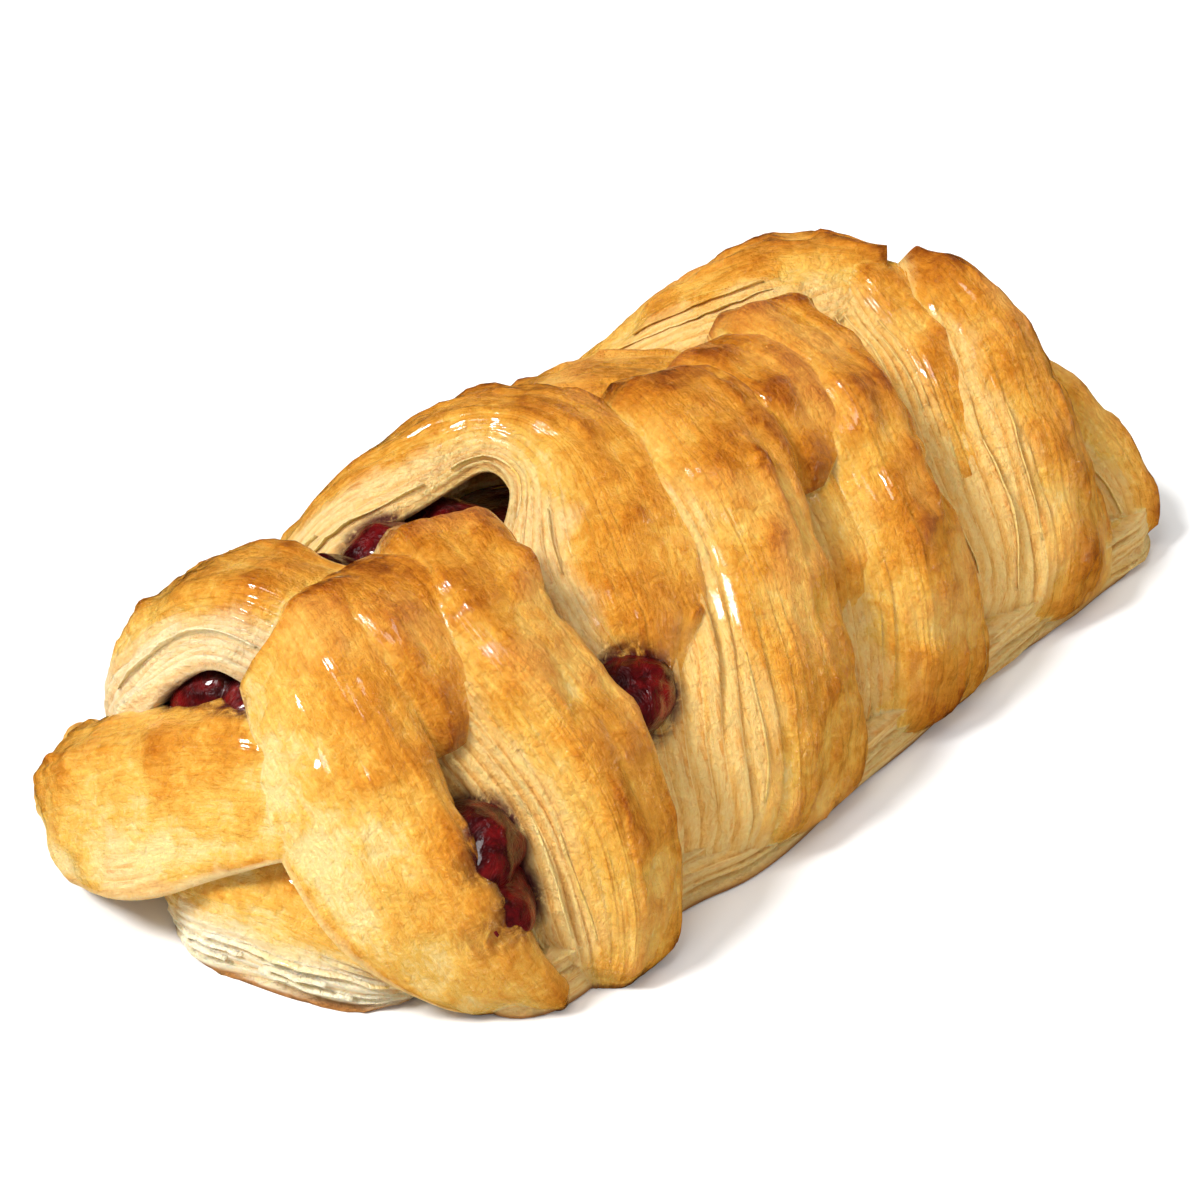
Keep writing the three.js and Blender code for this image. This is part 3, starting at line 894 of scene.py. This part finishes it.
# %% [markdown]
# ## Materials
# Dough lets light spread a little under its surface, which keeps the pale layers soft. The egg
# wash is a thin coat over it, and its weight comes from the group. Cherries in gel are dark and
# wet, with a wrinkled skin and brighter red patches.

# %% Shaders with their constants set
def principled(name, **inputs):
    """A material with its shader's constants set, its tree and its shader."""
    material = bpy.data.materials.new(name)
    material.use_nodes = True
    shader = material.node_tree.nodes["Principled BSDF"]
    for label, value in inputs.items():
        shader.inputs[label.replace("_", " ")].default_value = value
    return material, material.node_tree, shader


def bumped(tree, shader, height, strength, distance):
    """Turns a height into the shader's normal."""
    bump = linked(tree, "ShaderNodeBump", Strength=strength, Distance=distance, Height=height)
    tree.links.new(bump.outputs[0], shader.inputs["Normal"])


# %% Baked dough
def dough_material():
    """The baked look, driven by what is stored on the dough."""
    material, tree, shader = principled(
        "baked_dough", Subsurface_Weight=0.25, Subsurface_Scale=0.0014,
        Subsurface_Radius=(1.0, 0.6, 0.25), Coat_Roughness=0.08, Coat_IOR=1.5,
        Specular_IOR_Level=0.5)

    def stored(name):
        return linked(tree, "ShaderNodeAttribute", {"attribute_name": name})

    looks = linked(tree, "ShaderNodeSeparateXYZ", Vector=stored("dough").outputs["Vector"])
    look = linked(tree, "ShaderNodeGroup", {"node_tree": BAKED}, Crust=looks.outputs[0],
                  Edge=looks.outputs[1], Pale=looks.outputs[2],
                  Swell=stored("swell").outputs["Fac"], Stain=stored("stain").outputs["Fac"],
                  Grain=linked(tree, "ShaderNodeUVMap", {"uv_map": "Grain"}).outputs[0],
                  Spot=tree.nodes.new("ShaderNodeTexCoord").outputs["Object"])
    for output, label in (("Colour", "Base Color"), ("Roughness", "Roughness"),
                          ("Glaze", "Coat Weight")):
        tree.links.new(look.outputs[output], shader.inputs[label])
    bumped(tree, shader, look.outputs["Height"], 1.0, 0.003)
    return material


DOUGH = dough_material()
print(DOUGH.name, "with", len(DOUGH.node_tree.nodes), "nodes")

# %% Cherries in gel
CHERRY = [(0.25, "120102"), (0.45, "380406"), (0.6, "62080A"), (0.8, "921211")]


def cherry_material():
    """Dark wet skins with wrinkles."""
    material, tree, shader = principled(
        "cherry_gel", Roughness=0.3, Subsurface_Weight=0.1, Subsurface_Scale=0.002,
        Subsurface_Radius=(1.0, 0.08, 0.05), Coat_Weight=0.55, Coat_Roughness=0.04,
        Specular_IOR_Level=0.2)
    spot = tree.nodes.new("ShaderNodeTexCoord").outputs["Object"]
    skins = noise(tree, spot, 260.0, 5.0, 0.6, 0.6)
    tree.links.new(ramp(tree, skins, CHERRY), shader.inputs["Base Color"])
    bumped(tree, shader, noise(tree, spot, 420.0, 4.0, 0.6, 1.2), 0.8, 0.0012)
    return material


CHERRY_GEL = cherry_material()
print(CHERRY_GEL.name, "with", len(CHERRY_GEL.node_tree.nodes), "nodes")

# %% Dress the dough and the filling
for piece, material in ((pastry, DOUGH), (filling, CHERRY_GEL)):
    faces = len(piece.data.polygons)
    piece.data.materials.clear()
    piece.data.materials.append(material)
    piece.data.polygons.foreach_set("material_index", np.zeros(faces, dtype=np.int32))
    piece.data.polygons.foreach_set("use_smooth", np.ones(faces, dtype=bool))
    print(piece.name, "wears", material.name)

# %% [markdown]
# ## Torn leaves on the walls
# The lips above are one skin. On a real wall the outermost layers tear loose and curl, thin as
# paper. Each leaf starts from a short line along a lip. A node tree pulls the line outwards in two
# steps, each a little further round, by a length that noise varies to give a torn edge, and then
# gives the ribbon a thickness on both sides so that it is a closed piece of pastry.

# %% Lines for the leaves
LEAF_SHARE, LEAF_SEED = 0.5, 5
LEAF_RUNS, LEAF_GAPS = (8, 26), (2, 7)  # lengths, in rows of points along a strip
STRIP_END = 6  # rows of points at each end of a strip that carry no leaf
LOWEST_LEAF, HIGHEST_LEAF = 1.5, 41  # millimetres above the tray
BARE_CRUST = 0.65  # more crust than this has sealed the layers
LEAF_LOOK = (0.15, -0.1, 0)  # more crust and less edge than the lip it grew from


def on_skin(points, skin, slack=0.25):
    """True when the points lie on the joined dough, not inside another strip."""
    return all(skin.find_nearest(Vector(point) * MM)[3] < slack * MM for point in points[::2])


def can_tear(rows, start, stop, row, skin):
    """True when a stretch of a lip is long, bare, inside the plait's height and in the open."""
    points = rows["points"][start:stop, row]
    bare = rows["values"][start:stop, row, 0].max(initial=0) < BARE_CRUST
    high_enough = points[:, 2].min(initial=99) > LOWEST_LEAF
    low_enough = points[:, 2].max(initial=0) < HIGHEST_LEAF
    return stop - start > 3 and bare and high_enough and low_enough and on_skin(points, skin)


def leaf_runs(rows, dice, skin):
    """Random stretches of a strip's lips that tear: start, stop and which lip."""
    length = len(rows["points"])
    for row in np.flatnonzero((rows["kind"] == WALL) & (rows["reach"] == 1)):
        start = STRIP_END + dice.integers(0, 8)
        while start < length - 8:
            run = int(dice.integers(*LEAF_RUNS))
            stop = min(start + run, length - STRIP_END)
            if dice.random() < LEAF_SHARE and can_tear(rows, start, stop, row, skin):
                yield start, stop, row
            start += run + int(dice.integers(*LEAF_GAPS))


def leaf_lines(strip_rows, skin):
    """Short lines along the lips, with the way out, the way up the wall and the look."""
    dice = np.random.default_rng(LEAF_SEED)
    spots, ways, ups, looks, edges = [], [], [], [], []
    for rows in strip_rows:
        for start, stop, row in leaf_runs(rows, dice, skin):
            here = rows["points"][start:stop, row]
            full = np.sin(np.linspace(0.15, np.pi - 0.15, len(here))) ** 0.6  # low at both ends
            edges += [(k, k + 1) for k in range(len(spots), len(spots) + len(here) - 1)]
            spots += list(here)
            ways += list(rows["way"][start:stop, row] * full[:, None])
            ups += list(rows["points"][start:stop, row + 1] - here)
            looks += list(rows["values"][start:stop, row] + LEAF_LOOK)
    ups = np.array(ups)
    ups /= np.linalg.norm(ups, axis=1, keepdims=True) + 1e-9
    return np.array(spots), edges, {"out": np.array(ways), "wall_up": ups, "dough": np.array(looks)}


print("leaves grow from", LOWEST_LEAF, "to", HIGHEST_LEAF, "mm above the tray")

# %% Lines as an object that a tree can read
def line_object(name, spots, edges, vectors):
    """A mesh of loose lines that carries vectors on its points."""
    mesh = bpy.data.meshes.new(name)
    mesh.from_pydata((spots * MM).tolist(), edges, [])
    for label, values in vectors.items():
        layer = mesh.attributes.new(label, "FLOAT_VECTOR", "POINT")
        layer.data.foreach_set("vector", values.astype(np.float32).ravel())
    piece = bpy.data.objects.new(name, mesh)
    bpy.context.scene.collection.objects.link(piece)
    return piece


# %% The tree that grows leaves from lines
LEAF_BENDS = ((0.75, -0.3), (0.35, -0.65))  # each step's share of the way out and of the way up


def leaf_tree():
    """Lines in, closed ribbons with a torn edge out."""
    tree, take, give = new_group(
        "GeometryNodeTree", "Torn leaves",
        [("Lines", "NodeSocketGeometry", None), ("Length", "NodeSocketFloat", 0.0008),
         ("Raggedness", "NodeSocketFloat", 0.7), ("Thickness", "NodeSocketFloat", 0.00012),
         ("Seed", "NodeSocketInt", 3), ("Finish", "NodeSocketMaterial", None)],
        [("Leaves", "NodeSocketGeometry")])
    lines, length, ragged, thickness, seed, finish = (take.outputs[k] for k in range(6))

    def share_of(name, share):
        """A named vector of the lines, times a share."""
        vector = linked(tree, "GeometryNodeInputNamedAttribute", {"data_type": "FLOAT_VECTOR"},
                        Name=name).outputs[0]
        return linked(tree, "ShaderNodeVectorMath", {"operation": "SCALE"}, _0=vector,
                      Scale=share).outputs[0]

    rough = linked(tree, "ShaderNodeTexNoise", {"noise_dimensions": "4D"}, W=seed, Scale=700.0,
                   Detail=3.0).outputs["Fac"]
    rough = linked(tree, "ShaderNodeMapRange", Value=rough, From_Min=0.3, From_Max=0.7).outputs[0]
    shorten = linked(tree, "ShaderNodeMix", {"data_type": "FLOAT"}, _0=ragged, _2=1.0,
                     _3=rough).outputs[0]
    reach = linked(tree, "ShaderNodeMath", {"operation": "MULTIPLY"}, _0=length,
                   _1=shorten).outputs[0]
    shape, newest = lines, True
    for out_share, up_share in LEAF_BENDS:
        way = linked(tree, "ShaderNodeVectorMath", {"operation": "ADD"},
                     _0=share_of("out", out_share), _1=share_of("wall_up", up_share)).outputs[0]
        step = linked(tree, "GeometryNodeExtrudeMesh", {"mode": "EDGES"}, Mesh=shape,
                      Selection=newest, Offset=way, Offset_Scale=reach)
        shape, newest = step.outputs["Mesh"], step.outputs["Top"]
    thick = linked(tree, "GeometryNodeExtrudeMesh", {"mode": "FACES"}, Mesh=shape,
                   Offset_Scale=thickness, Individual=False)
    under = linked(tree, "GeometryNodeFlipFaces", Mesh=shape)
    whole = linked(tree, "GeometryNodeJoinGeometry")
    for part in (thick, under):
        tree.links.new(part.outputs["Mesh"], whole.inputs[0])
    welded = linked(tree, "GeometryNodeMergeByDistance", Geometry=whole.outputs[0], Distance=1e-6)
    smooth = linked(tree, "GeometryNodeSetShadeSmooth", Geometry=welded.outputs[0])
    real = linked(tree, "GeometryNodeRealizeInstances", Geometry=smooth.outputs[0])
    dressed = linked(tree, "GeometryNodeSetMaterial", Geometry=real.outputs[0], Material=finish)
    tree.links.new(dressed.outputs[0], give.inputs[0])
    return tree


LEAVES = leaf_tree()
print("Torn leaves:", len(LEAVES.nodes), "nodes")

# %% Grow the leaves
def grown(name, lines, tree, **settings):
    """The plain mesh that a geometry tree makes from some lines."""
    modifier = lines.modifiers.new("grow", "NODES")
    modifier.node_group = tree
    for item in tree.interface.items_tree:
        if item.in_out == "INPUT" and item.name in settings:
            modifier[item.identifier] = settings[item.name]
    graph = bpy.context.evaluated_depsgraph_get()
    mesh = bpy.data.meshes.new_from_object(lines.evaluated_get(graph))
    piece = bpy.data.objects.new(name, mesh)
    bpy.context.scene.collection.objects.link(piece)
    bpy.data.objects.remove(lines)
    return piece


skin = BVHTree.FromObject(pastry, bpy.context.evaluated_depsgraph_get())
lines = line_object("leaf_lines", *leaf_lines(strip_rows, skin))
leaves = grown("torn_leaves", lines, LEAVES, Length=0.0006, Raggedness=0.7, Thickness=0.00013,
               Seed=3, Finish=DOUGH)
print("leaves:", len(leaves.data.polygons), "faces")

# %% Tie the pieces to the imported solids
TIES = ((pastry, "pastry", "baked_dough"), (leaves, "pastry", "baked_dough"),
        (filling, "cherry_filling", "cherry_gel"))
for piece, node, finish_slot in TIES:
    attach(piece, "root")
    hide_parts(node)
    print(piece.name, "stands for", node)

# %% [markdown]
# ## Table and light
# A plain pale floor and large soft lights show the pastry as on a baker's counter. The key comes
# from the near left and high up, so the layered walls catch it and the far sides fall off. The
# room and the card only fill the shade: they would lie on dark gel as a grey haze, so reflections
# don't show them.

# %% Floor
bpy.ops.mesh.primitive_plane_add(size=6)
floor = bpy.context.object
floor.name = "floor"
floor_material = principled("floor", Base_Color=(0.9, 0.9, 0.89, 1), Roughness=0.6)[0]
floor.data.materials.append(floor_material)
floor.visible_glossy = False
print("floor of", floor.dimensions.x, "m")

# %% Lights
KEY_FROM, KEY_POWER, KEY_SOFTNESS = (-112, 50), 3.6, 0.25
# Name, azimuth and elevation in degrees, size in metres and power
SOFT_BOXES = (("window", -75, 60, 0.25, 1.6), ("card", 15, 25, 0.6, 0.8))
BOX_AWAY = 0.8
ROOM_LIGHT, BACKDROP_EXTRA = 0.64, 0.36  # what the camera sees behind the floor is brighter


def direction(azimuth, elevation):
    """The way out from the plait, turned from its near side and raised, in degrees."""
    turn, rise = math.radians(azimuth), math.radians(elevation)
    return Vector((math.sin(turn) * math.cos(rise), -math.cos(turn) * math.cos(rise),
                   math.sin(rise)))


def aimed(name, lamp, way, away):
    """A lamp that looks at the plait from a direction."""
    holder = bpy.data.objects.new(name, lamp)
    holder.location = way * away
    holder.rotation_euler = way.to_track_quat("Z", "Y").to_euler()
    bpy.context.scene.collection.objects.link(holder)
    return holder


key = bpy.data.lights.new("key", "SUN")
key.energy, key.angle = KEY_POWER, KEY_SOFTNESS
aimed("key", key, direction(*KEY_FROM), 1)
for name, azimuth, elevation, size, power in SOFT_BOXES:
    box = bpy.data.lights.new(name, "AREA")
    box.size, box.energy = size, power
    holder = aimed(name, box, direction(azimuth, elevation), BOX_AWAY)
    holder.visible_glossy = name == "window"
print(1 + len(SOFT_BOXES), "lights")

# %% Room
world = bpy.data.worlds.new("room")
world.use_nodes = True
room = world.node_tree
background = room.nodes["Background"]
background.inputs["Color"].default_value = (1, 1, 1, 1)
seen = linked(room, "ShaderNodeLightPath").outputs["Is Camera Ray"]
room.links.new(weighted(room, ROOM_LIGHT, [(seen, 0.0, BACKDROP_EXTRA)]),
               background.inputs["Strength"])
world.cycles_visibility.glossy = False
bpy.context.scene.world = world
bpy.context.scene.view_settings.view_transform = "Standard"
print("room light", ROOM_LIGHT)

# %% [markdown]
# ## Camera
# A long lens from a little above keeps the plait's sides nearly parallel, as in a baker's window,
# and shows its top, its near wall and the end with the cherries.

# %% Camera
CAMERA_FROM, CAMERA_AWAY = (-53.23, 31.26), 0.3879  # azimuth and elevation, and metres away
CAMERA_AIM = place(-9.15, 4.06, 34.7)
LENS, SENSOR, NEAREST = 97.2, 36, 0.01
back = direction(*CAMERA_FROM)
camera_data = bpy.data.cameras.new("camera")
camera_data.lens, camera_data.sensor_width, camera_data.clip_start = LENS, SENSOR, NEAREST
camera = bpy.data.objects.new("camera", camera_data)
camera.location = Vector(CAMERA_AIM) * MM + back * CAMERA_AWAY
camera.rotation_euler = (-back).to_track_quat("-Z", "Y").to_euler()
bpy.context.scene.collection.objects.link(camera)
bpy.context.scene.camera = camera
print("camera at", [round(metres, 3) for metres in camera.location])
